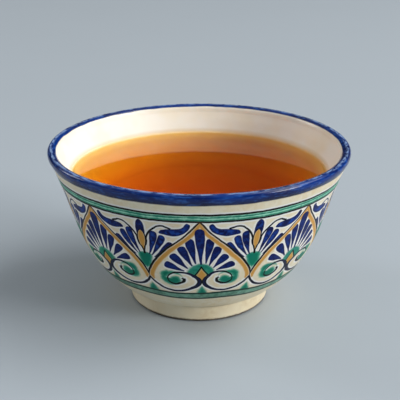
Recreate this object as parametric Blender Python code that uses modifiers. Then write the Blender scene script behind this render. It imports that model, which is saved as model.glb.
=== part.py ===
"""Footed tea bowl, turned in pale glazed earthenware, filled with tea.

Metres, +Z up. The origin is the middle of the foot's base, on the surface that the bowl stands on.
"""
import math

import bpy
import numpy as np

MM = 0.001

# Bowl, outside: radii and heights in metres
LIP_RADIUS = 59.8 * MM          # outermost point of the lip
BOWL_HEIGHT = 65.3 * MM         # top of the lip
LIP_THICKNESS = 4.1 * MM
LIP_OUTER_ROUND = 1.4 * MM      # rounding of the lip's upper outer edge
LIP_FACE_ROUND = 3.0 * MM       # slower rounding of the face below it
LIP_FACE_TURN = 40              # degrees that the face turns in under the lip
NECK_RADIUS = 58.4 * MM         # just under the lip
NECK_HEIGHT = 60.6 * MM
SHOULDER_RADIUS = 57.05 * MM    # top of the painted band
SHOULDER_HEIGHT = 57.1 * MM
WALL_RADIUS = 54.45 * MM
WALL_HEIGHT = 49.4 * MM
BELLY_RADIUS = 51.65 * MM
BELLY_HEIGHT = 40.3 * MM
CURVE_RADIUS = 48.6 * MM        # here the wall starts to turn in
CURVE_HEIGHT = 31.1 * MM
HIP_RADIUS = 44.1 * MM
HIP_HEIGHT = 21.8 * MM
TURN_RADIUS = 40.8 * MM         # bottom of the painted band
TURN_HEIGHT = 17.0 * MM
UNDERSIDE_RADIUS = 34.1 * MM
UNDERSIDE_HEIGHT = 10.0 * MM

# Foot ring
FOOT_RADIUS = 29.0 * MM
FOOT_HEIGHT = 6.9 * MM
FOOT_EDGE = 1.0 * MM            # rounding of the foot's outer and inner bottom edges
FOOT_BATTER = 0.4 * MM          # the base is this much narrower than the foot's top
FOOT_WIDTH = 5.0 * MM           # width of the ring
FOOT_RECESS = 3.4 * MM          # depth of the shallow hollow inside the ring

# Bowl, inside
WALL_THICKNESS = 4.8 * MM       # measured across the wall below the tea's surface
LIP_INNER_RADIUS = LIP_RADIUS - LIP_THICKNESS
LIP_INNER_ROUND = LIP_THICKNESS - LIP_OUTER_ROUND
FLOOR_HEIGHT = 9.6 * MM         # inner floor, on the axis
FLOOR_EDGE_RADIUS = 26.0 * MM   # the flat of the inner floor ends about here
FLOOR_EDGE_HEIGHT = 12.2 * MM

# Tea
TEA_LEVEL = 53.6 * MM
TEA_GAP = 0.3 * MM              # clearance between the tea and the wall

TURN_STEPS = 56                 # segments round the axis
LIP_STEPS = 4                   # segments of a quarter turn over the lip
LIP_FACE_STEPS = 2
EDGE_STEPS = 3
OUTER_STEPS = 3                 # segments between two stations of the outer curve
INNER_STEPS = 2
MERGE = 0.00001


def clear_scene():
    """Remove whatever the scene holds."""
    for obj in list(bpy.data.objects):
        bpy.data.objects.remove(obj, do_unlink=True)


def arc(centre, radius, start_deg, end_deg, steps):
    """Points of a circular arc, (radius, height), both ends included."""
    angles = np.radians(np.linspace(start_deg, end_deg, steps + 1))
    return [(centre[0] + radius * math.cos(a), centre[1] + radius * math.sin(a)) for a in angles]


def smooth_curve(stations, steps):
    """Catmull-Rom curve through the stations, (radius, height), with its two end points."""
    pts = np.array(stations)
    padded = np.vstack([2 * pts[0] - pts[1], pts, 2 * pts[-1] - pts[-2]])
    curve = []
    for i in range(len(pts) - 1):
        a, b, c, d = padded[i:i + 4]
        for k in range(steps):
            t = k / steps
            point = 0.5 * (2 * b + (c - a) * t + (2 * a - 5 * b + 4 * c - d) * t ** 2
                           + (3 * b - a - 3 * c + d) * t ** 3)
            curve.append(tuple(point))
    curve.append(tuple(pts[-1]))
    return curve


def outer_stations():
    """Stations of the outer wall, from under the lip down to the foot."""
    return [
        (NECK_RADIUS, NECK_HEIGHT),
        (SHOULDER_RADIUS, SHOULDER_HEIGHT),
        (WALL_RADIUS, WALL_HEIGHT),
        (BELLY_RADIUS, BELLY_HEIGHT),
        (CURVE_RADIUS, CURVE_HEIGHT),
        (HIP_RADIUS, HIP_HEIGHT),
        (TURN_RADIUS, TURN_HEIGHT),
        (UNDERSIDE_RADIUS, UNDERSIDE_HEIGHT),
        (FOOT_RADIUS + 0.5 * FOOT_EDGE, FOOT_HEIGHT + 0.3 * FOOT_EDGE),
    ]


def inner_wall_station(outer_low, outer, outer_high):
    """The inner wall's point across the wall from a station of the outer wall."""
    slope = np.array(outer_high) - np.array(outer_low)
    inward = np.array((-slope[1], slope[0])) / np.linalg.norm(slope)
    return tuple(np.array(outer) + inward * WALL_THICKNESS)


def inner_stations():
    """Stations of the inside, from the middle of the floor up to the lip."""
    outer = outer_stations()
    wall = [inner_wall_station(outer[i + 1], outer[i], outer[i - 1]) for i in (6, 5, 4, 3, 2)]
    return [
        (0.0, FLOOR_HEIGHT),
        (0.5 * FLOOR_EDGE_RADIUS, FLOOR_HEIGHT + 0.2 * (FLOOR_EDGE_HEIGHT - FLOOR_HEIGHT)),
        (FLOOR_EDGE_RADIUS, FLOOR_EDGE_HEIGHT),
        *wall,
    ]


def inner_profile():
    """The inside, from the middle of the floor up to where the lip's rounding starts."""
    lip_start = (LIP_INNER_RADIUS, BOWL_HEIGHT - LIP_INNER_ROUND)
    return smooth_curve(inner_stations() + [lip_start], INNER_STEPS)


def lip_profile():
    """The lip, from the inside over its top to the face that turns in under it."""
    crown = LIP_RADIUS - LIP_OUTER_ROUND
    inner = arc((crown, BOWL_HEIGHT - LIP_INNER_ROUND), LIP_INNER_ROUND, 180, 90, LIP_STEPS)
    outer = arc((crown, BOWL_HEIGHT - LIP_OUTER_ROUND), LIP_OUTER_ROUND, 90, 0, LIP_STEPS)
    face_centre = (LIP_RADIUS - LIP_FACE_ROUND, BOWL_HEIGHT - LIP_OUTER_ROUND)
    face = arc(face_centre, LIP_FACE_ROUND, 0, -LIP_FACE_TURN, LIP_FACE_STEPS)
    return inner + outer[1:] + face[1:]


def foot_profile():
    """The foot ring, from its outer side over its base into the shallow recess."""
    base_radius = FOOT_RADIUS - FOOT_BATTER
    ring_radius = base_radius - FOOT_WIDTH
    outer_edge = arc((base_radius - FOOT_EDGE, FOOT_EDGE), FOOT_EDGE, 0, -90, EDGE_STEPS)
    inner_edge = arc((ring_radius + FOOT_EDGE, FOOT_EDGE), FOOT_EDGE, 270, 180, EDGE_STEPS)
    return [
        (FOOT_RADIUS, FOOT_HEIGHT - 0.4 * FOOT_EDGE),
        *outer_edge,
        *inner_edge,
        (ring_radius, FOOT_RECESS - 0.5 * FOOT_EDGE),
        (ring_radius - 0.5 * FOOT_EDGE, FOOT_RECESS),
        (0.0, FOOT_RECESS),
    ]


def bowl_profile():
    """Half section of the bowl: up the inside, over the lip, down the outside, under the foot."""
    outer = smooth_curve(outer_stations(), OUTER_STEPS)
    return inner_profile()[:-1] + lip_profile() + outer + foot_profile()


def tea_profile():
    """Half section of the tea: down from its surface, along the inside with a small gap."""
    wall = inner_profile()
    moved = [(0.0, wall[0][1] + TEA_GAP)]
    for i in range(1, len(wall) - 1):
        slope = np.array(wall[i + 1]) - np.array(wall[i - 1])
        inward = np.array((-slope[1], slope[0])) / np.linalg.norm(slope)
        moved.append(tuple(np.array(wall[i]) + inward * TEA_GAP))
    below = [p for p in moved if p[1] < TEA_LEVEL]
    above = moved[len(below)]
    share = (TEA_LEVEL - below[-1][1]) / (above[1] - below[-1][1])
    edge_radius = below[-1][0] + share * (above[0] - below[-1][0])
    return [(0.0, TEA_LEVEL), (edge_radius, TEA_LEVEL)] + below[::-1]


def turned_solid(name, profile, collection):
    """An object whose profile, at +X, a Screw modifier turns once round the axis."""
    mesh = bpy.data.meshes.new(name)
    vertices = [(radius, 0.0, height) for radius, height in profile]
    edges = [(i, i + 1) for i in range(len(vertices) - 1)]
    mesh.from_pydata(vertices, edges, [])
    obj = bpy.data.objects.new(name, mesh)
    collection.objects.link(obj)
    screw = obj.modifiers.new("turn", "SCREW")
    screw.axis = "Z"
    screw.angle = math.tau
    screw.steps = TURN_STEPS
    screw.render_steps = TURN_STEPS
    screw.use_merge_vertices = True
    screw.merge_threshold = MERGE
    screw.use_smooth_shade = True
    return obj


def finish(name, colour, roughness):
    """A Principled material with the part's own colour and roughness."""
    material = bpy.data.materials.new(name)
    material.use_nodes = True
    shader = material.node_tree.nodes["Principled BSDF"]
    shader.inputs["Base Color"].default_value = (*colour, 1.0)
    shader.inputs["Roughness"].default_value = roughness
    shader.inputs["Metallic"].default_value = 0.0
    return material


def build():
    clear_scene()
    collection = bpy.data.collections.new("tea_bowl")
    bpy.context.scene.collection.children.link(collection)
    bowl = turned_solid("bowl", bowl_profile(), collection)
    bowl.data.materials.append(finish("cream_glaze", (0.62, 0.56, 0.46), 0.3))
    tea = turned_solid("tea", tea_profile(), collection)
    tea.data.materials.append(finish("tea", (0.45, 0.10, 0.015), 0.05))


build()
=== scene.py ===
import math

import bmesh
import bpy
import numpy as np
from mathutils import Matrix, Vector


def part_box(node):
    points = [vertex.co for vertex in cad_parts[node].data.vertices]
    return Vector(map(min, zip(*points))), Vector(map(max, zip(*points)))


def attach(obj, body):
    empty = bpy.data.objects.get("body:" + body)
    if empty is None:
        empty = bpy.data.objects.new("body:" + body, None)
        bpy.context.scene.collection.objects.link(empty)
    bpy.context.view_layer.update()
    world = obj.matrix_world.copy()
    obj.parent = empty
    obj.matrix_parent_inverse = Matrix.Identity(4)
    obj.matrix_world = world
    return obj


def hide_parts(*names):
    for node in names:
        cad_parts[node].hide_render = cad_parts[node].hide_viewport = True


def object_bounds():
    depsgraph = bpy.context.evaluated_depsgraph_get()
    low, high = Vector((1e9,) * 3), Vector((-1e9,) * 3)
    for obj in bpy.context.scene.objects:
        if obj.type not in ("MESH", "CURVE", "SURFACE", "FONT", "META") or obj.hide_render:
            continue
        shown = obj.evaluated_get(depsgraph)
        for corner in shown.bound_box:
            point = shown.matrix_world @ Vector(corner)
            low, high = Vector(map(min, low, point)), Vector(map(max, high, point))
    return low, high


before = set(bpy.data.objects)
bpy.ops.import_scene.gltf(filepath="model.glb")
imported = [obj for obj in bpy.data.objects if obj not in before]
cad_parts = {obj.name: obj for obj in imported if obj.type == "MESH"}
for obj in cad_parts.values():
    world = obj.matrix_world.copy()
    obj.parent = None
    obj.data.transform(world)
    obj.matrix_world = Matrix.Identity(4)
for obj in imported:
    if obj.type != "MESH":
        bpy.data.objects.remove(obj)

MM = 0.001
SAME_PLACE = 1e-6                   # two points this near each other are one
CAD_BOX = [list(corner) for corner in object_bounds()]

# Camera, fitted to the rim, the painted lines and the foot of the bowl in the 400 x 400 picture
CAMERA_DISTANCE = 345 * MM
CAMERA_ELEVATION = math.radians(21.52)
AIM_HEIGHT = 40.37 * MM
AIM_RIGHT = 0.33 * MM
FOCAL_PIXELS = 843.9
IMAGE_PIXELS = 400
SENSOR_WIDTH = 36.0

# Bowl, with heights in mm up the wall from the bottom of the painted band unless said otherwise
BAND_BOTTOM_HEIGHT = 17.0 * MM      # height of that bottom above the table
ROUND_STEPS = 288
SECTION_STEP = 0.9 * MM
CORNER_TURN = math.radians(25)
THROWN_LEAN = 0.14 * MM             # how far the hand-thrown lip strays inside the true circle
PAINTED_SPAN = (-16.5, 57.5)
LIP_SPAN = (46.9, 56.6)
LIP_CREST = 53.1
LIP_STREAK_RUN = 16 * MM            # radius of the lip in the streak pattern, which draws the streaks out
RIM_BLUE_OUTSIDE = 47.9
RIM_BLUE_INSIDE = 55.3
RIM_DARKENING_SPAN = (50.6, 48.6)        # the blue darkens down the wall over this
INSIDE_TURN = (52.5, 53.5)          # outer glaze turns into inner glaze over this
LOW_WALL_MOTTLE_SPAN = (-6.0, -16.0)           # the warmer, darker mottling grows down the wall
FOOT_PALE_SPAN = (-14.5, -16.5)
FOOT_CREASE = -15.3                 # where the foot ring joins the wall
# bottom edge of the foot, darkened partly as bare edge and partly as painted contact shade
FOOT_EDGE_AND_CONTACT_SHADE_SPAN = (-20.7, -21.3)
WORN_SPAN = (-24.0, -26.5)          # bare clay under the foot ring
THROWING_RING = 5.5                 # mm from one throwing ring to the next
SPECK_CELL = 4.5                    # mm, with at most one speck to a cell
REPEATS = 8
PATTERN_TURN = math.radians(0.2)
PAINTED, PLAIN, LIP = range(3)      # places of the three glazes in the bowl's list of materials

# Colour map of the bowl as (start, extent) shares: the painted band in three rows, then inside and foot
MAP_BAND_ROWS = 3
MAP_ROW_STEP = 0.252
MAP_BAND_U = (0.01, 0.98)
MAP_BAND_V = (0.004, 0.244)
MAP_INSIDE_U = (0.01, 0.6)
MAP_FOOT_U = (0.66, 0.32)
MAP_REST_V = (0.765, 0.225)

# Tea
TEA_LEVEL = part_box("tea")[1].z
TEA_REACH = 0.5 * MM                # how far the tea goes into the wall
TEA_STEPS = 192
TEA_FIRST_RING = 4 * MM             # radius of the innermost ring of the flat part
TEA_FLAT_RINGS = 14
TEA_EDGE_RINGS = 18
TEA_SIDE_DROP = 0.3 * MM            # the side starts at least this far below the top's outer edge
MENISCUS_RISE = 0.7 * MM
MENISCUS_WIDTH = 2.2 * MM
MENISCUS_FADE = 2.2                 # its rise fades by this power of e over its width
FLAT_END = 3.0                      # meniscus widths from the wall
EDGE_START = 2.8
TEA_ABSORPTION = (0.0070, 0.0240, 0.1)    # per mm
TEA_INDEX = 1.27                    # lower than water's, for the weak reflections in the picture
# Painted tea-coloured shade on the glaze round and under the tea level
TEA_SHADE_ABOVE = 2.2 * MM              # from here above the level the glaze is tinted
TEA_SHADE_FULL = 0.8 * MM               # to here below it, where the tint is full
TEA_SHADE_FADE = 6 * MM                 # from here it fades
TEA_SHADE_DEPTH = 24 * MM               # and down to here, where it has faded away

# Studio, in metres
FLOOR_HALF = 3.0
FLOOR_CELLS = 24
LIGHT_AIM = (0.0, 0.0, 0.04)
CAMERA_NEAR = 0.02


# Sections of the turned solids

def section_of(node):
    """Half section of a turned CAD node as (radius, height) points, from top to bottom of its axis."""
    mesh = bmesh.new()
    mesh.from_mesh(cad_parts[node].data)
    bmesh.ops.remove_doubles(mesh, verts=mesh.verts, dist=SAME_PLACE)
    half = {v for v in mesh.verts if abs(v.co.y) < SAME_PLACE and v.co.x > -SAME_PLACE}
    joined = {v: [e.other_vert(v) for e in v.link_edges if e.other_vert(v) in half] for v in half}
    ends = sorted((v for v in half if len(joined[v]) == 1), key=lambda v: v.co.z)
    path = [ends[-1]]
    while path[-1] is not ends[0]:
        path.append(next(v for v in joined[path[-1]] if v not in path))
    points = [(v.co.x, v.co.z) for v in path]
    mesh.free()
    if points[0][0] > SAME_PLACE:
        points.insert(0, (0.0, points[0][1]))
    if points[-1][0] > SAME_PLACE:
        points.append((0.0, points[-1][1]))
    return np.array(points)


def length_along(points):
    return np.concatenate([[0.0], np.cumsum(np.hypot(*np.diff(points, axis=0).T))])


def turns_sharply(a, b, c):
    before, after = b - a, c - b
    cosine = float(before @ after) / float(np.hypot(*before) * np.hypot(*after))
    return math.acos(max(-1.0, min(1.0, cosine))) > CORNER_TURN


def smooth_section(points, step):
    """The section again, on a smooth curve through its points that keeps its sharp corners."""
    count = len(points)
    corner = [True] + [turns_sharply(*points[i - 1:i + 2]) for i in range(1, count - 1)] + [True]
    fine = []
    for i in range(count - 1):
        b, c = points[i], points[i + 1]
        a = 2 * b - c if corner[i] else points[i - 1]
        d = 2 * c - b if corner[i + 1] else points[i + 2]
        pieces = max(1, round(float(np.hypot(*(c - b))) / step))
        for t in np.arange(pieces) / pieces:
            fine.append(0.5 * (2 * b + (c - a) * t + (2 * a - 5 * b + 4 * c - d) * t ** 2
                               + (3 * b - a - 3 * c + d) * t ** 3))
    fine.append(points[-1])
    return np.maximum(np.array(fine), 0.0)


# Meshes

def turned_mesh(name, section, steps, shape=None):
    """Closed mesh turned from a section with its ends on the axis, and the section row of each face."""
    inner = section[1:-1]
    rows = len(inner)
    angles = np.arange(steps) * 2 * math.pi / steps
    places = [(0.0, 0.0, float(section[0][1]))]
    for radius, height in inner:
        for angle in angles:
            r, z = shape(radius, height, angle) if shape else (radius, height)
            places.append((r * math.sin(angle), -r * math.cos(angle), z))
    places.append((0.0, 0.0, float(section[-1][1])))
    last = len(places) - 1
    faces, face_rows = [], []
    for j in range(steps):
        k = (j + 1) % steps
        faces.append((0, 1 + k, 1 + j))
        face_rows.append(0)
        for i in range(rows - 1):
            upper, lower = 1 + i * steps, 1 + (i + 1) * steps
            faces.append((upper + j, upper + k, lower + k, lower + j))
            face_rows.append(i + 1)
        bottom = 1 + (rows - 1) * steps
        faces.append((last, bottom + j, bottom + k))
        face_rows.append(rows)
    mesh = bpy.data.meshes.new(name)
    mesh.from_pydata(places, [], faces)
    mesh.update()
    check = bmesh.new()
    check.from_mesh(mesh)
    bmesh.ops.recalc_face_normals(check, faces=check.faces)
    check.to_mesh(mesh)
    check.free()
    for polygon in mesh.polygons:
        polygon.use_smooth = True
    obj = bpy.data.objects.new(name, mesh)
    bpy.context.scene.collection.objects.link(obj)
    return obj, face_rows


def thrown(radius, height, angle):
    """Slight unevenness of a bowl shaped by hand, always inside the true circle."""
    share = (height / CAD_BOX[1][2]) ** 2
    lean = THROWN_LEAN * (1 + 0.6 * math.sin(2 * angle + 0.9) + 0.4 * math.sin(3 * angle + 2.1)) / 2
    dip = THROWN_LEAN * (1 + math.sin(2 * angle - 0.7)) / 2
    return radius - lean * share, height - dip * share ** 2


def wall_heights(section):
    """Length up the outer wall in mm for each section point, 0 at the bottom of the painted band."""
    along = length_along(section)
    outermost = int(np.argmax(section[:, 0]))
    lower = [i for i in range(outermost, len(section) - 1) if section[i][1] >= BAND_BOTTOM_HEIGHT]
    i = lower[-1]
    share = (section[i][1] - BAND_BOTTOM_HEIGHT) / (section[i][1] - section[i + 1][1])
    zero = along[i] + share * (along[i + 1] - along[i])
    return (zero - along) / MM


def bowl_piece():
    section = smooth_section(section_of("bowl"), SECTION_STEP)
    heights = wall_heights(section)
    obj, face_rows = turned_mesh("tea_bowl", section, ROUND_STEPS, thrown)
    mesh = obj.data
    per_vertex = np.concatenate([[heights[0]], np.repeat(heights[1:-1], ROUND_STEPS), [heights[-1]]])
    attribute = mesh.attributes.new("wall_height", "FLOAT", "POINT")
    attribute.data.foreach_set("value", per_vertex.astype(np.float32))
    low, high = PAINTED_SPAN
    for polygon, i in zip(mesh.polygons, face_rows):
        middle = 0.5 * (heights[i] + heights[i + 1])
        polygon.material_index = PAINTED if low < middle < high else PLAIN
        if LIP_SPAN[0] < middle < LIP_SPAN[1]:
            polygon.material_index = LIP
    lay_out_map(mesh, heights)
    return obj, section


def part_way(span, share):
    return span[0] + span[1] * share


def lay_out_map(mesh, heights):
    """UV map with the painted band in rows, and the rest of the bowl in one more."""
    layer = mesh.uv_layers.new(name="OFBake")
    low, high = PAINTED_SPAN
    top, bottom = float(heights[0]), float(heights[-1])
    for polygon in mesh.polygons:
        loops = list(polygon.loop_indices)
        corners = [mesh.vertices[mesh.loops[i].vertex_index].co for i in loops]
        middle = polygon.center
        turn = math.atan2(middle.x, -middle.y) / (2 * math.pi) % 1.0
        levels = [mesh.attributes["wall_height"].data[mesh.loops[i].vertex_index].value for i in loops]
        for i, corner, level in zip(loops, corners, levels):
            angle = math.atan2(corner.x, -corner.y) / (2 * math.pi) % 1.0
            if math.hypot(corner.x, corner.y) < SAME_PLACE:
                angle = turn
            angle += round(turn - angle)
            if polygon.material_index != PLAIN:
                row = min(MAP_BAND_ROWS - 1, int(turn * MAP_BAND_ROWS))
                u = part_way(MAP_BAND_U, angle * MAP_BAND_ROWS - row)
                v = MAP_ROW_STEP * row + part_way(MAP_BAND_V, (level - low) / (high - low))
            elif level > 0.5 * (low + high):
                u = part_way(MAP_INSIDE_U, angle)
                v = part_way(MAP_REST_V, (level - high) / (top - high))
            else:
                u = part_way(MAP_FOOT_U, angle)
                v = part_way(MAP_REST_V, (level - bottom) / (low - bottom))
            layer.data[i].uv = (u, v)


def tea_piece(bowl_section):
    """Tea up to its level, with a small meniscus, reaching a little into the wall all round."""
    lip = int(np.argmax(bowl_section[:, 1]))
    wall = bowl_section[:lip]
    wall = wall[wall[:, 1] < TEA_LEVEL + MENISCUS_RISE]
    along = np.gradient(wall, axis=0)
    along /= np.hypot(*along.T)[:, None]
    outward = np.stack([along[:, 1], -along[:, 0]], axis=1)
    outward[0] = (0.0, -1.0)
    side = wall + outward * TEA_REACH
    side[0][0] = 0.0
    edge = float(np.interp(TEA_LEVEL, wall[:, 1], wall[:, 0]))
    outer = float(side[-1][0])
    top = [(0.0, TEA_LEVEL)]
    for radius in np.linspace(TEA_FIRST_RING, edge - FLAT_END * MENISCUS_WIDTH, TEA_FLAT_RINGS):
        top.append((radius, TEA_LEVEL))
    for radius in np.linspace(edge - EDGE_START * MENISCUS_WIDTH, outer, TEA_EDGE_RINGS):
        rise = MENISCUS_RISE * math.exp(-max(0.0, edge - radius) / MENISCUS_WIDTH * MENISCUS_FADE)
        top.append((radius, TEA_LEVEL + rise))
    lower = [p for p in side[::-1] if p[1] < top[-1][1] - TEA_SIDE_DROP]
    section = np.array(top + [tuple(p) for p in lower])
    obj, _ = turned_mesh("tea_liquid", section, TEA_STEPS)
    return obj


# Materials

class Field:
    """A number that varies over a surface, held as a node output. Arithmetic on it adds nodes in order."""

    def __init__(self, tree, socket):
        self.tree = tree
        self.socket = socket

    def math(self, operation, *others, clamp=False):
        node = self.tree.nodes.new("ShaderNodeMath")
        node.operation = operation
        node.use_clamp = clamp
        for place, value in zip(node.inputs, (self, *others)):
            if isinstance(value, Field):
                self.tree.links.new(value.socket, place)
            else:
                place.default_value = value
        return Field(self.tree, node.outputs[0])

    def __add__(self, other):
        return self.math("ADD", other)

    def __sub__(self, other):
        return self.math("SUBTRACT", other)

    def __mul__(self, other):
        return self.math("MULTIPLY", other)

    def __truediv__(self, other):
        return self.math("DIVIDE", other)

    def __rsub__(self, other):
        return self.math("MULTIPLY_ADD", -1.0, other)

    def __neg__(self):
        return self * -1.0

    def __abs__(self):
        return self.math("ABSOLUTE")

    def least(self, *others):
        result = self
        for other in others:
            result = result.math("MINIMUM", other)
        return result

    def most(self, *others):
        result = self
        for other in others:
            result = result.math("MAXIMUM", other)
        return result

    def ramp(self, start, end):
        """0 at start and below it, 1 at end, or the other way round where end is the smaller."""
        return self.math("MULTIPLY_ADD", 1.0 / (end - start), -start / (end - start), clamp=True)

    def scaled(self, span, values):
        """The first value at the start of the span and before it, and the second at its end and beyond."""
        return self.ramp(*span).math("MULTIPLY_ADD", values[1] - values[0], values[0])

    def curve(self, points):
        """Smooth curve through (input, output) points, level beyond both ends."""
        inputs, outputs = zip(*points)
        low, high = min(outputs), max(outputs)
        share = self.ramp(inputs[0], inputs[-1])
        node = self.tree.nodes.new("ShaderNodeFloatCurve")
        line = node.mapping.curves[0]
        placed = [((a - inputs[0]) / (inputs[-1] - inputs[0]), (b - low) / (high - low)) for a, b in points]
        line.points[0].location = placed[0]
        line.points[1].location = placed[-1]
        for place in placed[1:-1]:
            line.points.new(*place)
        node.mapping.update()
        self.tree.links.new(share.socket, node.inputs["Value"])
        return Field(self.tree, node.outputs[0]).math("MULTIPLY_ADD", high - low, low)


def linear(red, green, blue):
    """Linear colour from 0 to 255 display values."""
    shares = [c / 255 for c in (red, green, blue)]
    return [s / 12.92 if s < 0.04045 else ((s + 0.055) / 1.055) ** 2.4 for s in shares] + [1.0]


# Colours as display values of the glaze and paints in even light, and of some painted shade and a painted
# highlight

CREAM = linear(233, 220, 188)
CREAM_WARM = linear(229, 208, 168)
CREAM_COOL = linear(240, 231, 212)
WHITE = linear(248, 245, 232)
WHITE_WARM = linear(246, 237, 212)
# painted tea-coloured shade, laid over the glaze under the tea and just above its level
TEA_TINTED_SHADE = linear(213, 178, 102)
# brown specks, and a brown line in the foot's crease that is partly painted shade
TEA_SHEEN = linear(255, 236, 90)
SPECK_AND_CREASE_SHADE = linear(120, 90, 60)
# dark bottom edge of the foot, partly bare edge and partly painted contact shade
FOOT_EDGE_AND_CONTACT_SHADE = linear(62, 46, 36)
BARE_CLAY = linear(178, 140, 104)
# warmer, darker mottling, more of it down the wall towards the foot
LOW_WALL_MOTTLE = linear(212, 184, 134)
FOOT_PALE = linear(244, 232, 202)
HALO = linear(244, 246, 250)
GREEN_PALE = linear(84, 180, 150)
GREEN = linear(0, 120, 94)
TEAL = linear(0, 116, 108)
GREEN_TOP = linear(40, 134, 108)
GREEN_TOP_PALE = linear(158, 220, 192)
GREEN_DEEP = linear(30, 110, 90)
GREEN_SMOKE = linear(104, 166, 144)
OCHRE = linear(206, 152, 72)
OCHRE_PALE = linear(224, 184, 120)
COBALT = linear(16, 62, 148)
COBALT_DARK = linear(0, 12, 72)
COBALT_NAVY = linear(6, 20, 84)
INK = linear(2, 3, 2)
INK_BLUE = linear(10, 18, 66)
INK_BROWN = linear(70, 48, 24)
INK_GREEN = linear(18, 56, 44)
RIM_BLUE = linear(0, 46, 122)
RIM_DARK = linear(0, 20, 80)
RIM_LIGHT = linear(44, 98, 178)
RIM_EDGE = linear(0, 6, 46)
# pale crest of the lip: thin glaze, with a painted highlight
RIM_THIN_AND_HIGHLIGHT = linear(160, 188, 230)
FLOOR = linear(180, 189, 196)
FLOOR_DARK = linear(175, 184, 191)
ROOM_LOW = (0.035, 0.038, 0.042, 1.0)
ROOM_HIGH = (0.435, 0.45, 0.462, 1.0)


def layered(tree, below, above, amount, blend="MIX"):
    """Colour above laid over colour below, as far as the field amount says."""
    node = tree.nodes.new("ShaderNodeMix")
    node.data_type = "RGBA"
    node.blend_type = blend
    tree.links.new(amount.socket, node.inputs[0])
    for place, colour in ((node.inputs[6], below), (node.inputs[7], above)):
        if isinstance(colour, bpy.types.NodeSocket):
            tree.links.new(colour, place)
        else:
            place.default_value = colour
    return node.outputs[2]


def noise(tree, place, scale_mm, detail, roughness=0.5):
    """Noise node whose lumps are about scale_mm wide."""
    node = tree.nodes.new("ShaderNodeTexNoise")
    node.inputs["Scale"].default_value = 1 / (scale_mm * MM)
    node.inputs["Detail"].default_value = detail
    node.inputs["Roughness"].default_value = roughness
    tree.links.new(place, node.inputs["Vector"])
    return node


class Surface:
    """Place on the bowl in metres, height up the wall in mm, and a broad and a fine noise."""

    def __init__(self, tree):
        self.tree = tree
        self.place = tree.nodes.new("ShaderNodeTexCoord").outputs["Object"]
        split = tree.nodes.new("ShaderNodeSeparateXYZ")
        tree.links.new(self.place, split.inputs[0])
        self.east = Field(tree, split.outputs[0])
        self.north = Field(tree, split.outputs[1])
        self.height = Field(tree, split.outputs[2])
        attribute = tree.nodes.new("ShaderNodeAttribute")
        attribute.attribute_name = "wall_height"
        self.wall = Field(tree, attribute.outputs["Fac"])
        self.cloud = Field(tree, noise(tree, self.place, 14.0, 2.0).outputs[0])
        self.mottle = Field(tree, noise(tree, self.place, 2.2, 3.0, 0.6).outputs[0])


def glaze_ground(surface):
    """Warm cream glaze, paler inside the bowl, with soft clouds, faint mottling, a few fine specks and
    warmer mottling down the wall; painted tea-coloured shade under the tea, and a dark foot edge and a
    brown line at the foot's crease that are partly painted shade.
    """
    tree = surface.tree
    inside = surface.wall.ramp(*INSIDE_TURN)
    outer = layered(tree, CREAM, CREAM_WARM, surface.cloud.ramp(0.42, 0.72))
    inner = layered(tree, WHITE, WHITE_WARM, surface.cloud.ramp(0.42, 0.72))
    # Painted tea-coloured shade: the glaze under the tea, and a little above its level, is darkened and
    # tinted as light through the tea would be
    tea_shade = surface.height.ramp(TEA_LEVEL + TEA_SHADE_ABOVE, TEA_LEVEL - TEA_SHADE_FULL)
    tea_shade = tea_shade * surface.height.ramp(TEA_LEVEL - TEA_SHADE_DEPTH, TEA_LEVEL - TEA_SHADE_FADE)
    inner = layered(tree, inner, TEA_TINTED_SHADE, tea_shade, "MULTIPLY")
    outer = layered(tree, outer, CREAM_COOL, surface.mottle.ramp(0.4, 0.7) * 0.7)
    colour = layered(tree, outer, inner, inside)
    colour = layered(tree, colour, FOOT_PALE, surface.wall.ramp(*FOOT_PALE_SPAN) * 0.7)
    low_wall_mottle = surface.wall.ramp(*LOW_WALL_MOTTLE_SPAN) * surface.cloud.ramp(0.4, 0.62) * surface.mottle.ramp(0.3, 0.6)
    colour = layered(tree, colour, LOW_WALL_MOTTLE, low_wall_mottle * 0.42)
    # Faint brown line where the foot joins the wall, partly painted shade in the crease
    crease_shade = abs(surface.wall - FOOT_CREASE).ramp(0.75, 0.1) * surface.cloud.ramp(0.3, 0.55)
    colour = layered(tree, colour, SPECK_AND_CREASE_SHADE, crease_shade * 0.4)
    # Dark brown bottom edge of the foot ring, partly bare edge and partly painted contact shade
    edge = (surface.wall + surface.mottle * 0.8).ramp(*FOOT_EDGE_AND_CONTACT_SHADE_SPAN)
    colour = layered(tree, colour, FOOT_EDGE_AND_CONTACT_SHADE, edge * 0.9)
    cells = tree.nodes.new("ShaderNodeTexVoronoi")
    cells.inputs["Scale"].default_value = 1 / (SPECK_CELL * MM)
    tree.links.new(surface.place, cells.inputs["Vector"])
    chosen = tree.nodes.new("ShaderNodeSeparateColor")
    tree.links.new(cells.outputs["Color"], chosen.inputs[0])
    speck = Field(tree, cells.outputs["Distance"]).ramp(0.07, 0.03)
    speck = speck * Field(tree, chosen.outputs[0]).ramp(0.8, 0.84)
    return layered(tree, colour, SPECK_AND_CREASE_SHADE, speck * 0.45)


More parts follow.
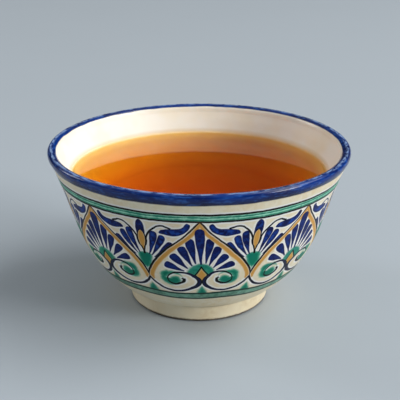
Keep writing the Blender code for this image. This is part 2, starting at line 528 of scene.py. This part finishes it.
def petal(x, v, base, tip, half_width, bend=0.0, fullest=0.85):
    """Signed distance to a brush petal, thin at its base and full near its round tip."""
    reach = math.dist(base, tip)
    along_x, along_v = (tip[0] - base[0]) / reach, (tip[1] - base[1]) / reach
    from_x, from_v = x - base[0], v - base[1]
    t = (from_x * along_x + from_v * along_v) / reach
    across = from_x * along_v - from_v * along_x
    if bend:
        across = across - (t * (1.0 - t)) * (4 * bend)
    width = t.curve([(0.0, 0.16), (0.2 * fullest, 0.31), (0.45 * fullest, 0.59), (0.7 * fullest, 0.88),
                     (fullest, 1.0), (0.5 * fullest + 0.5, 0.9), (0.2 * fullest + 0.8, 0.62), (1.0, 0.0)])
    return (abs(across) - width * half_width).most((t - 1.0) * reach, t * -reach)


def disc(x, v, centre, radius):
    dx, dv = x - centre[0], v - centre[1]
    return (dx * dx + dv * dv).math("SQRT") - radius


def polar(x, v, centre):
    """Distance from a centre, and angle in degrees clockwise from the +x side, 0 to 360."""
    dx, dv = x - centre[0], v - centre[1]
    radius = (dx * dx + dv * dv).math("SQRT")
    angle = (-dv).math("ARCTAN2", dx) * (180 / math.pi)
    return radius, angle.math("WRAP", 360.0, 0.0)


def covered(distance, softness):
    """1 inside a signed distance, 0 outside, over a soft edge."""
    return distance.math("MULTIPLY_ADD", -1.0 / softness, 0.5, clamp=True)


# Ornament: x in mm across a repeat from its middle, v in mm up the wall, angles in degrees clockwise.
# Curves are (v, half width) or (angle, radius) points. Petals are (base, tip, half width), and discs are
# (centre, radius). A pair of pairs is a span of v and the values at its start and end.

HAND_WAVER = [(11.0, 0.45, 0.35), (2.0, 0.15, 0.15)]     # lump width, sway across, sway up
OFF_MIDDLE = [(10, 0.9), (16, 0.65), (21, 0.45), (30, 0.2), (38, 0.1)]
OFF_MIDDLE_TURN = 2.3               # radians from one repeat to the next
OFF_MIDDLE_FADE = (7.5, 0.8)        # across, from no effect to all of it
SCROLL_LIFT = 0.35
SCROLL_LIFT_FADE = (24.0, 18.0)     # down the wall, from no effect to all of it
ARCH = [(11.9, 18.4), (13.3, 18.9), (14.2, 18.85), (15.6, 18.65), (17.0, 18.3), (18.75, 17.7),
        (20.3, 16.9), (23.3, 15.1), (25.8, 13.1), (28.8, 10.5), (31.5, 7.8), (33.4, 5.9), (35.2, 4.1),
        (37.3, 2.4), (39.4, 0.9), (40.2, 0.15)]
ARCH_SLANT = ((24.0, 15.0), (0.73, 1.0))    # share of a distance across that is square to the arch
ARCH_LINE_SPAN = (11.6, 40.2)
ARCH_LINE_HALF = ((36.0, 20.0), (0.35, 0.45))
RIBBON_SPAN = (11.3, 40.0)
RIBBON_MIDDLE = ((40.0, 34.0), (0.65, 1.4))
RIBBON_HALF = ((40.0, 33.0), (0.46, 0.88))
RIBBON_FOOT = (10.6, 13.2)          # it widens up the wall from nothing over this
SCROLL_CENTRE = (9.0, 12.6)
SCROLL_FIRST_TURN = [(0, 9.6), (10, 8.75), (21, 8.1), (36, 7.4), (55, 7.0), (71, 6.8), (86, 6.87),
                     (101, 6.92), (115, 7.07), (129, 7.27), (141, 7.57), (153, 8.04), (162, 8.25),
                     (171, 8.3), (182, 7.88), (191, 7.32), (198, 6.74), (210, 6.2), (224, 5.57),
                     (239, 4.85), (255, 4.34), (271, 4.0), (293, 3.47), (314, 3.18), (338, 2.92),
                     (360, 2.7)]
SCROLL_SECOND_TURN = [(0, 2.7), (32, 2.6), (61, 2.5), (94, 2.6), (122, 2.6), (150, 2.9), (174, 3.11),
                      (197, 2.98)]
SCROLL_WIDTH = [(0, 0.65), (60, 0.75), (100, 0.8), (135, 0.95), (152, 1.2), (182, 1.25), (205, 0.9),
                (260, 0.65), (310, 0.45), (360, 0.35)]
SCROLL_HALF_SHARE = 0.72            # half width as a share of SCROLL_WIDTH
HOOK_WIDTH = [(0, 0.35), (40, 0.5), (90, 0.8), (150, 0.95), (197, 0.8)]
HOOK_HALF_SHARE = 0.66
HOOK_END = ((6.45, 13.5), 0.42)
HOOK_DEGREE = 0.05                  # mm along the curve for one degree, like the other three below
PALMETTE = [((0.1, 20.6), (0.0, 37.4), 1.8), ((1.9, 21.0), (4.0, 32.9), 1.62),
            ((3.1, 20.0), (7.0, 29.1), 1.55), ((4.6, 18.8), (10.05, 25.2), 1.55),
            ((5.8, 17.6), (12.6, 20.8), 1.55)]
SPRAY_MIDDLE = ((0.0, 26.5), (0.0, 40.0), 1.7)
SPRAY = [((1.8, 24.0), (4.9, 35.3), 1.42), ((2.8, 23.7), (8.0, 33.6), 1.36),
         ((3.7, 23.0), (10.9, 30.6), 1.3)]
SPRAY_MIDDLE_FULLEST = 0.66
SPRAY_BEND = 0.35
SPRAY_TOP = 35.3
SPRAY_CLEAR = 0.3                   # mm that the spray keeps from the arch and the almond
STEM_CENTRE = (12.5, 30.0)
STEM = [(252, 7.27), (266, 7.62), (276, 8.1), (286.4, 8.13), (299.6, 7.7), (314, 7.36), (329.5, 7.08),
        (343.4, 6.99), (360, 6.7), (379, 7.72), (392.7, 9.26)]
STEM_SPAN = (252.0, 390.0)
STEM_WRAP = (99.9, 100.1)           # angles up to this count on from 360
STEM_HALF = 0.4
STEM_DEGREE = 0.12
LEAF_CENTRE = (9.6, 43.0)
LEAF_ANGLES = [58.0, 58.8, 61.5, 66.5, 72.5, 81, 90, 100, 110, 123, 138, 144, 147.5, 148.5]
LEAF_RADII = [8.85, 8.75, 8.6, 8.25, 7.95, 7.75, 7.65, 7.6, 7.62, 7.58, 7.1, 6.9, 6.8, 6.8]
LEAF_HALVES = [0.0, 0.6, 0.95, 1.15, 1.25, 1.38, 1.45, 1.4, 1.25, 1.1, 0.98, 0.8, 0.5, 0.0]
LEAF_FULLNESS = 1.14
LEAF_DEGREE = 0.14
DIAMOND_MIDDLE = 15.4
DIAMOND_HALF = (2.4, 4.0)
DIAMOND_LINE = (1.95, 0.27)         # about the mm from its middle square to its edge, and half width
DIAMOND_LINE_BOTTOM = 14.8
DIAMOND_CORE = (1.7, 0.8)           # the same for the ochre, and the share of the diamond that it fills
ALMOND = [(25.8, 0.0), (27.2, 0.45), (29.0, 0.95), (31.2, 1.2), (33.0, 1.08), (34.3, 0.65), (35.0, 0.0)]
ALMOND_LINE = (0.22, 0.24)          # its middle outside the almond, and half width
ALMOND_LINE_SPAN = (24.0, 35.4)
ALMOND_STALK = (0.28, 26.3)         # half width and top
DOME = ((0.0, 16.0), 5.1)
CRESCENT = ((10.4, 13.4), 3.95)
CRESCENT_TIP = ((12.2, 15.3), 2.2)
CRESCENT_GAP = (2.55, 0.5)          # radius and half width
CRESCENT_GAP_ANGLES = (260.0, 80.0)     # middle and half
CRESCENT_GAP_DEGREE = 0.09
SCROLL_CORE = ((8.9, 12.5), 2.0)
FAN = [(16.6, 0.0), (17.4, 0.5), (18.5, 1.5), (20.0, 2.25), (22.0, 2.8), (23.5, 2.9), (24.6, 1.6),
       (25.0, 0.0)]
TICK = [(3.5, 2.1), (5.5, 1.7), (7.0, 1.1), (8.8, 0.1)]
TICK_SPAN = (3.6, 8.8)
TOP_BAND = (42.0, 1.2)              # middle and half width, like the lines and the low band
TOP_LINES = [(43.5, 0.45), (40.5, 0.43)]
LOW_BAND = (2.1, 1.85)
LOW_LINES = [(4.1, 0.58), (-0.1, 0.68)]
TOP_STRIPE = (41.8, 1.25)           # height of a pale stripe, and from one stripe to the next


class Spot:
    """Place within one repeat: a from its middle, edge from its side, v up the wall, and main curves."""

    def __init__(self, surface):
        tree = surface.tree
        turn = surface.east.math("ARCTAN2", -surface.north) - PATTERN_TURN
        repeat = (turn * (REPEATS / (2 * math.pi))).math("ROUND")
        radius = (surface.east * surface.east + surface.north * surface.north).math("SQRT") / MM
        x = radius * (turn - repeat * (2 * math.pi / REPEATS))
        v = surface.wall
        for lump, across, up in HAND_WAVER:
            sway = tree.nodes.new("ShaderNodeSeparateColor")
            tree.links.new(noise(tree, surface.place, lump, 1.0).outputs["Color"], sway.inputs[0])
            x = x + Field(tree, sway.outputs[0]).math("MULTIPLY_ADD", 2 * across, -across)
            v = v + Field(tree, sway.outputs[1]).math("MULTIPLY_ADD", 2 * up, -up)

        # Each repeat is drawn a little off its middle, more at the scrolls than at the point of the arch
        off = v.curve(OFF_MIDDLE) * (repeat * OFF_MIDDLE_TURN).math("COSINE")
        x = x - off * abs(x).ramp(*OFF_MIDDLE_FADE)
        lift = (x / radius * REPEATS).math("SINE") * v.ramp(*SCROLL_LIFT_FADE)
        v = v - lift * SCROLL_LIFT

        self.v = v
        self.a = abs(x)
        self.edge = radius * (math.pi / REPEATS) - self.a
        self.arch = (v.curve(ARCH) - self.a) * v.scaled(*ARCH_SLANT)
        self.spiral, self.bearing = polar(self.a, v, SCROLL_CENTRE)
        self.first_turn = self.bearing.curve(SCROLL_FIRST_TURN)
        self.scroll_half = self.bearing.curve(SCROLL_WIDTH) * SCROLL_HALF_SHARE
        self.ribbon_middle = v.scaled(*RIBBON_MIDDLE)
        self.ribbon_half = v.scaled(*RIBBON_HALF) * v.ramp(*RIBBON_FOOT)
        self.almond = self.edge - v.curve(ALMOND)
        self.diamond = self.a / DIAMOND_HALF[0] + abs(v - DIAMOND_MIDDLE) / DIAMOND_HALF[1]


# Line work of the ornament, as signed distances

def arch_line(spot):
    line = abs(spot.arch) - spot.v.scaled(*ARCH_LINE_HALF)
    return line.most(ARCH_LINE_SPAN[0] - spot.v, spot.v - ARCH_LINE_SPAN[1])


def scroll_line(spot):
    """The scroll's first turn, and the hook that ends it."""
    line = abs(spot.spiral - spot.first_turn) - spot.scroll_half
    second = spot.bearing.curve(SCROLL_SECOND_TURN)
    hook = abs(spot.spiral - second) - spot.bearing.curve(HOOK_WIDTH) * HOOK_HALF_SHARE
    hook = hook.most((spot.bearing - SCROLL_SECOND_TURN[-1][0]) * HOOK_DEGREE)
    return line.least(hook.least(disc(spot.a, spot.v, *HOOK_END)))


def stem_line(spot):
    """The stem that runs from the almond over the spray to the leaf."""
    sweep, heading = polar(spot.a, spot.v, STEM_CENTRE)
    heading = heading + (1.0 - heading.ramp(*STEM_WRAP)) * 360.0
    stem = abs(sweep - heading.curve(STEM)) - STEM_HALF
    return stem.most((STEM_SPAN[0] - heading) * STEM_DEGREE, (heading - STEM_SPAN[1]) * STEM_DEGREE)


def diamond_line(spot):
    line = abs((spot.diamond - 1.0) * DIAMOND_LINE[0]) - DIAMOND_LINE[1]
    return line.most(DIAMOND_LINE_BOTTOM - spot.v)


def almond_line(spot):
    """The line round the almond, and the stalk below it."""
    v = spot.v
    stalk = (spot.edge - ALMOND_STALK[0]).most(v - ALMOND_STALK[1])
    line = (abs(spot.almond - ALMOND_LINE[0]) - ALMOND_LINE[1]).least(stalk)
    return line.most(v - ALMOND_LINE_SPAN[1], ALMOND_LINE_SPAN[0] - v)


def turn_lines(spot, lines):
    """Lines that run all the way round the bowl."""
    distances = [abs(spot.v - middle) - half for middle, half in lines]
    return distances[0].least(*distances[1:])


# Painted shapes of the ornament, as signed distances

def dome_shape(spot):
    return disc(spot.a, spot.v, *DOME).most(spot.first_turn - spot.spiral)


def wash_shape(spot, dome):
    """Everything in green between the two bands: dome, crescents, scroll cores, fans and ticks."""
    a, v = spot.a, spot.v
    past_gap = (abs(spot.bearing - CRESCENT_GAP_ANGLES[0]) - CRESCENT_GAP_ANGLES[1]) * CRESCENT_GAP_DEGREE
    gap = (abs(spot.spiral - CRESCENT_GAP[0]) - CRESCENT_GAP[1]).most(past_gap)
    crescent = disc(a, v, *CRESCENT).least(disc(a, v, *CRESCENT_TIP)).most(-gap)
    core = disc(a, v, *SCROLL_CORE)
    fan = (spot.edge - v.curve(FAN)).most(FAN[0][0] - v, v - FAN[-1][0])
    tick = (a.least(spot.edge) - v.curve(TICK)).most(v - TICK_SPAN[1], TICK_SPAN[0] - v)
    return dome.least(crescent, core, fan, tick)


def ochre_shape(spot):
    """The ribbon inside the arch, the diamonds and the almonds."""
    v = spot.v
    ribbon = abs(spot.arch - spot.ribbon_middle) - spot.ribbon_half
    ribbon = ribbon.most(RIBBON_SPAN[0] - v, v - RIBBON_SPAN[1])
    diamond = (spot.diamond - DIAMOND_CORE[1]) * DIAMOND_CORE[0]
    return ribbon.least(diamond, spot.almond.most(v - ALMOND[-1][0], ALMOND[0][0] - v))


def palmette_shape(spot):
    """Petals inside the arch, of which the ribbon cuts all but the middle one."""
    inside = spot.ribbon_middle + spot.ribbon_half - spot.arch
    shape = petal(spot.a, spot.v, *PALMETTE[0])
    for base, tip, half_width in PALMETTE[1:]:
        shape = shape.least(petal(spot.a, spot.v, base, tip, half_width).most(inside))
    return shape


def spray_shape(spot):
    """Petals and leaves between two arches, clear of the almond."""
    shape = petal(spot.edge, spot.v, *SPRAY_MIDDLE, fullest=SPRAY_MIDDLE_FULLEST)
    for base, tip, half_width in SPRAY:
        shape = shape.least(petal(spot.edge, spot.v, base, tip, half_width, bend=SPRAY_BEND))
    span, course = polar(spot.a, spot.v, LEAF_CENTRE)
    leaf = abs(span - course.curve(list(zip(LEAF_ANGLES, LEAF_RADII))))
    leaf = leaf - course.curve([(k, half * LEAF_FULLNESS) for k, half in zip(LEAF_ANGLES, LEAF_HALVES)])
    leaf = leaf.most((LEAF_ANGLES[0] - course) * LEAF_DEGREE, (course - LEAF_ANGLES[-1]) * LEAF_DEGREE)
    near_almond = (SPRAY_CLEAR - spot.almond).least(SPRAY_TOP - spot.v)
    return shape.least(leaf).most(spot.arch + SPRAY_CLEAR, near_almond)


# Paints of the ornament

def green_paint(surface, washes, dome):
    """Green, thin at the edges of a wash, turning to teal here and there and pale in the dome."""
    tree, streak = surface.tree, surface.mottle
    green = layered(tree, GREEN_PALE, GREEN, (-washes).ramp(-0.2, 1.2))
    green = layered(tree, green, TEAL, surface.cloud.ramp(0.45, 0.65) * 0.6)
    return layered(tree, green, GREEN_PALE, (-dome).ramp(0.2, 1.4) * streak.ramp(0.3, 0.7) * 0.5)


def cobalt_paint(surface, palmette, spray):
    """Cobalt with lighter strokes inside each petal, deeper in the palmettes than in the sprays."""
    tree = surface.tree
    strokes = (-palmette.least(spray)).ramp(0.1, 0.8) * surface.mottle.ramp(0.42, 0.6)
    cobalt = layered(tree, COBALT_DARK, COBALT, strokes)
    return layered(tree, COBALT_NAVY, cobalt, (palmette - spray).scaled((-0.3, 0.3), (0.45, 1.0)))


def ink_paint(surface, spot, arch):
    """Black, bluer where a scroll is broad and browner up the arch."""
    tree = surface.tree
    in_scroll = abs(spot.spiral - spot.first_turn).ramp(0.6, 0.1)
    ink = layered(tree, INK, INK_BLUE, in_scroll * spot.scroll_half.ramp(0.44, 0.6))
    on_arch = abs(arch).ramp(0.4, 0.2)
    return layered(tree, ink, INK_BROWN, spot.v.ramp(27.0, 33.0) * on_arch * 0.6)


def with_bands(surface, spot, paint):
    """The two green bands that run round the bowl, streaked by the brush."""
    tree, streak = surface.tree, surface.mottle
    height, spacing = TOP_STRIPE
    stripes = ((spot.v - height) * (2 * math.pi / spacing)).math("COSINE") * 0.5 + (streak - 0.5) * 2.2
    top_green = layered(tree, GREEN_TOP, GREEN_TOP_PALE, stripes.ramp(-0.3, 0.5))
    paint = layered(tree, paint, top_green, covered(turn_lines(spot, [TOP_BAND]), 0.4))
    smoke = (streak + (surface.cloud - 0.5) * 0.7).ramp(0.35, 0.65)
    low_green = layered(tree, GREEN_SMOKE, GREEN_DEEP, smoke)
    return layered(tree, paint, low_green, covered(turn_lines(spot, [LOW_BAND]), 0.7) * 0.92)


def ornament(surface, ground):
    """The painted band over the ground colour: washes first, then ochre, cobalt and the dark lines."""
    tree, streak = surface.tree, surface.mottle
    spot = Spot(surface)
    palmette, spray = palmette_shape(spot), spray_shape(spot)
    cobalt = palmette.least(spray)
    arch = arch_line(spot)
    dark = arch.least(scroll_line(spot), stem_line(spot), diamond_line(spot), almond_line(spot),
                      turn_lines(spot, TOP_LINES))
    halo = dark.least(cobalt).ramp(1.0, 0.2) * spot.v.ramp(3.0, 6.0)
    paint = layered(tree, ground, HALO, halo * 0.75)

    dome = dome_shape(spot)
    washes = wash_shape(spot, dome) + (streak - 0.5) * 0.9
    paint = layered(tree, paint, green_paint(surface, washes, dome), covered(washes, 0.9))
    paint = with_bands(surface, spot, paint)

    ochre = ochre_shape(spot)
    ochre_colour = layered(tree, OCHRE_PALE, OCHRE, (-ochre + (streak - 0.5) * 0.5).ramp(0.0, 0.45))
    paint = layered(tree, paint, ochre_colour, covered(ochre, 0.35))
    paint = layered(tree, paint, cobalt_paint(surface, palmette, spray), covered(cobalt, 0.22))
    paint = layered(tree, paint, ink_paint(surface, spot, arch), covered(dark, 0.2))
    return layered(tree, paint, INK_GREEN, covered(turn_lines(spot, LOW_LINES), 0.35))


def lip_blue(surface, colour):
    """Cobalt wash over the lip, darker below, pale on the crest where the glaze runs thin and a highlight
    is painted, with streaks and a wavering edge.
    """
    tree = surface.tree
    waver = Field(tree, noise(tree, surface.place, 9.0, 2.0).outputs[0]).math("MULTIPLY_ADD", 0.7, -0.35)
    level = surface.wall + waver
    shape = (RIM_BLUE_OUTSIDE - level).most(level - RIM_BLUE_INSIDE)
    streak = lip_streaks(surface)
    blue = layered(tree, RIM_DARK, RIM_BLUE, surface.cloud.ramp(0.35, 0.6))
    blue = layered(tree, blue, RIM_EDGE, level.ramp(*RIM_DARKENING_SPAN) * 0.8)
    blue = layered(tree, blue, RIM_LIGHT, streak.ramp(0.52, 0.72) * 0.6)
    # Pale crest: partly glaze running thin, partly a painted highlight
    thin_and_highlight = abs(level - LIP_CREST).ramp(0.9, 0.1) * streak.ramp(0.4, 0.56)
    blue = layered(tree, blue, RIM_THIN_AND_HIGHLIGHT, thin_and_highlight * 0.75)
    return layered(tree, colour, blue, covered(shape, 0.4))


def lip_streaks(surface):
    """Noise drawn out along the lip, as a brush leaves it."""
    tree = surface.tree
    radius = (surface.east * surface.east + surface.north * surface.north).math("SQRT")
    join = tree.nodes.new("ShaderNodeCombineXYZ")
    for place, part in zip(join.inputs, (surface.east / radius * LIP_STREAK_RUN,
                                         surface.north / radius * LIP_STREAK_RUN, surface.wall * MM)):
        tree.links.new(part.socket, place)
    return Field(tree, noise(tree, join.outputs[0], 0.9, 2.0, 0.6).outputs[0])


def new_material(name):
    material = bpy.data.materials.new(name)
    material.use_nodes = True
    tree = material.node_tree
    return material, tree, tree.nodes["Principled BSDF"]


def glaze_finish(surface, shader, relief_depth=0.05 * MM):
    """Satin glaze: soft reflections, broken by orange-peel and throwing rings."""
    tree = surface.tree
    rings = surface.height * (1 / MM) + surface.cloud * 5.0
    rings = (rings * (2 * math.pi / THROWING_RING)).math("SINE") * 0.5
    relief = rings + surface.mottle * 1.2 + surface.cloud * 2.0
    bump = tree.nodes.new("ShaderNodeBump")
    bump.inputs["Strength"].default_value = 0.5
    bump.inputs["Distance"].default_value = relief_depth
    tree.links.new(relief.socket, bump.inputs["Height"])
    tree.links.new(bump.outputs[0], shader.inputs["Normal"])
    tree.links.new((surface.mottle * 0.25 + 0.24).socket, shader.inputs["Roughness"])
    shader.inputs["IOR"].default_value = 1.5
    shader.inputs["Specular IOR Level"].default_value = 0.12


def painted_glaze():
    material, tree, shader = new_material("painted_glaze")
    surface = Surface(tree)
    colour = ornament(surface, glaze_ground(surface))
    tree.links.new(colour, shader.inputs["Base Color"])
    glaze_finish(surface, shader)
    return material


def lip_glaze():
    """Glossy blue glaze of the lip."""
    material, tree, shader = new_material("lip_glaze")
    surface = Surface(tree)
    tree.links.new(lip_blue(surface, glaze_ground(surface)), shader.inputs["Base Color"])
    glaze_finish(surface, shader, 0.09 * MM)
    tree.links.new((surface.mottle * 0.22 + 0.06).socket, shader.inputs["Roughness"])
    shader.inputs["Specular IOR Level"].default_value = 0.32
    return material


def plain_glaze():
    material, tree, shader = new_material("plain_glaze")
    surface = Surface(tree)
    colour = glaze_ground(surface)
    worn = surface.wall.ramp(*WORN_SPAN) * surface.mottle.ramp(0.4, 0.6)
    tree.links.new(layered(tree, colour, BARE_CLAY, worn * 0.5), shader.inputs["Base Color"])
    glaze_finish(surface, shader)
    return material


def tea_material():
    material, tree, shader = new_material("clear_tea")
    shader.inputs["Base Color"].default_value = (1.0, 1.0, 1.0, 1.0)
    shader.inputs["Roughness"].default_value = 0.0
    shader.inputs["IOR"].default_value = TEA_INDEX
    shader.inputs["Specular Tint"].default_value = TEA_SHEEN
    shader.inputs["Transmission Weight"].default_value = 1.0
    place = tree.nodes.new("ShaderNodeTexCoord").outputs["Object"]
    swell = noise(tree, place, 30.0, 1.0)
    bump = tree.nodes.new("ShaderNodeBump")
    bump.inputs["Strength"].default_value = 0.12
    bump.inputs["Distance"].default_value = 0.3 * MM
    tree.links.new(swell.outputs[0], bump.inputs["Height"])
    tree.links.new(bump.outputs[0], shader.inputs["Normal"])
    clear = tree.nodes.new("ShaderNodeBsdfTransparent")
    path = tree.nodes.new("ShaderNodeLightPath")
    mix = tree.nodes.new("ShaderNodeMixShader")
    output = tree.nodes["Material Output"]
    tree.links.new(path.outputs["Is Shadow Ray"], mix.inputs[0])
    tree.links.new(shader.outputs[0], mix.inputs[1])
    tree.links.new(clear.outputs[0], mix.inputs[2])
    tree.links.new(mix.outputs[0], output.inputs["Surface"])
    body = tree.nodes.new("ShaderNodeVolumeAbsorption")
    strongest = max(TEA_ABSORPTION)
    body.inputs["Color"].default_value = [1 - a / strongest for a in TEA_ABSORPTION] + [1.0]
    body.inputs["Density"].default_value = strongest / MM
    tree.links.new(body.outputs[0], output.inputs["Volume"])
    return material


def floor_material():
    material, tree, shader = new_material("studio_floor")
    place = tree.nodes.new("ShaderNodeTexCoord").outputs["Object"]
    grain = Field(tree, noise(tree, place, 1.2, 3.0).outputs[0])
    cloud = Field(tree, noise(tree, place, 90.0, 2.0).outputs[0])
    tree.links.new(layered(tree, FLOOR, FLOOR_DARK, grain * 0.3 + cloud * 0.3), shader.inputs["Base Color"])
    shader.inputs["Roughness"].default_value = 0.55
    shader.inputs["Specular IOR Level"].default_value = 0.3
    return material


# Studio

def softbox(name, place, size, power):
    light = bpy.data.lights.new(name, "AREA")
    light.shape = "RECTANGLE"
    light.size, light.size_y = size
    light.energy = power
    obj = bpy.data.objects.new(name, light)
    obj.location = place
    aim = Vector(LIGHT_AIM) - Vector(place)
    obj.rotation_euler = aim.to_track_quat("-Z", "Y").to_euler()
    bpy.context.scene.collection.objects.link(obj)


def floor_piece():
    """Plain floor under the foot, wide enough to fill the picture."""
    row = FLOOR_CELLS + 1
    steps = [-FLOOR_HALF + 2 * FLOOR_HALF * i / FLOOR_CELLS for i in range(row)]
    spots = [(x, y, 0.0) for y in steps for x in steps]
    firsts = [j * row + i for j in range(FLOOR_CELLS) for i in range(FLOOR_CELLS)]
    faces = [(k, k + 1, k + row + 1, k + row) for k in firsts]
    mesh = bpy.data.meshes.new("studio_floor")
    mesh.from_pydata(spots, [], faces)
    obj = bpy.data.objects.new("studio_floor", mesh)
    bpy.context.scene.collection.objects.link(obj)
    mesh.materials.append(floor_material())


def camera():
    data = bpy.data.cameras.new("camera")
    data.sensor_width = SENSOR_WIDTH
    data.lens = FOCAL_PIXELS / IMAGE_PIXELS * SENSOR_WIDTH
    data.clip_start = CAMERA_NEAR
    obj = bpy.data.objects.new("camera", data)
    back = CAMERA_DISTANCE * math.cos(CAMERA_ELEVATION)
    up = CAMERA_DISTANCE * math.sin(CAMERA_ELEVATION)
    obj.location = (AIM_RIGHT, -back, AIM_HEIGHT + up)
    obj.rotation_euler = (math.pi / 2 - CAMERA_ELEVATION, 0.0, 0.0)
    bpy.context.scene.collection.objects.link(obj)
    bpy.context.scene.camera = obj


def surroundings():
    """Soft room light, dim near the horizon and brighter overhead."""
    world = bpy.data.worlds.new("studio")
    bpy.context.scene.world = world
    world.use_nodes = True
    tree = world.node_tree
    split = tree.nodes.new("ShaderNodeSeparateXYZ")
    tree.links.new(tree.nodes.new("ShaderNodeTexCoord").outputs["Generated"], split.inputs[0])
    rise = Field(tree, split.outputs[2]).ramp(0.35, 0.8)
    tree.links.new(layered(tree, ROOM_LOW, ROOM_HIGH, rise), tree.nodes["Background"].inputs["Color"])


# Everything together

bowl, bowl_section = bowl_piece()
bowl.data.materials.append(painted_glaze())
bowl.data.materials.append(plain_glaze())
bowl.data.materials.append(lip_glaze())
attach(bowl, "root")
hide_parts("bowl")

tea = tea_piece(bowl_section)
tea.data.materials.append(tea_material())
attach(tea, "root")
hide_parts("tea")

floor_piece()
camera()
surroundings()
softbox("key_right", (2.2, 0.12, 2.6), (2.4, 2.4), 71.5)
softbox("side_right", (2.22, -1.03, 0.95), (0.9, 0.8), 41.0)
softbox("fill_left", (-2.0, -0.95, 0.32), (1.6, 0.5), 3.6)
softbox("rim_left", (-1.95, 0.8, 1.0), (0.6, 0.9), 10.5)

bpy.context.scene.view_settings.view_transform = "Standard"
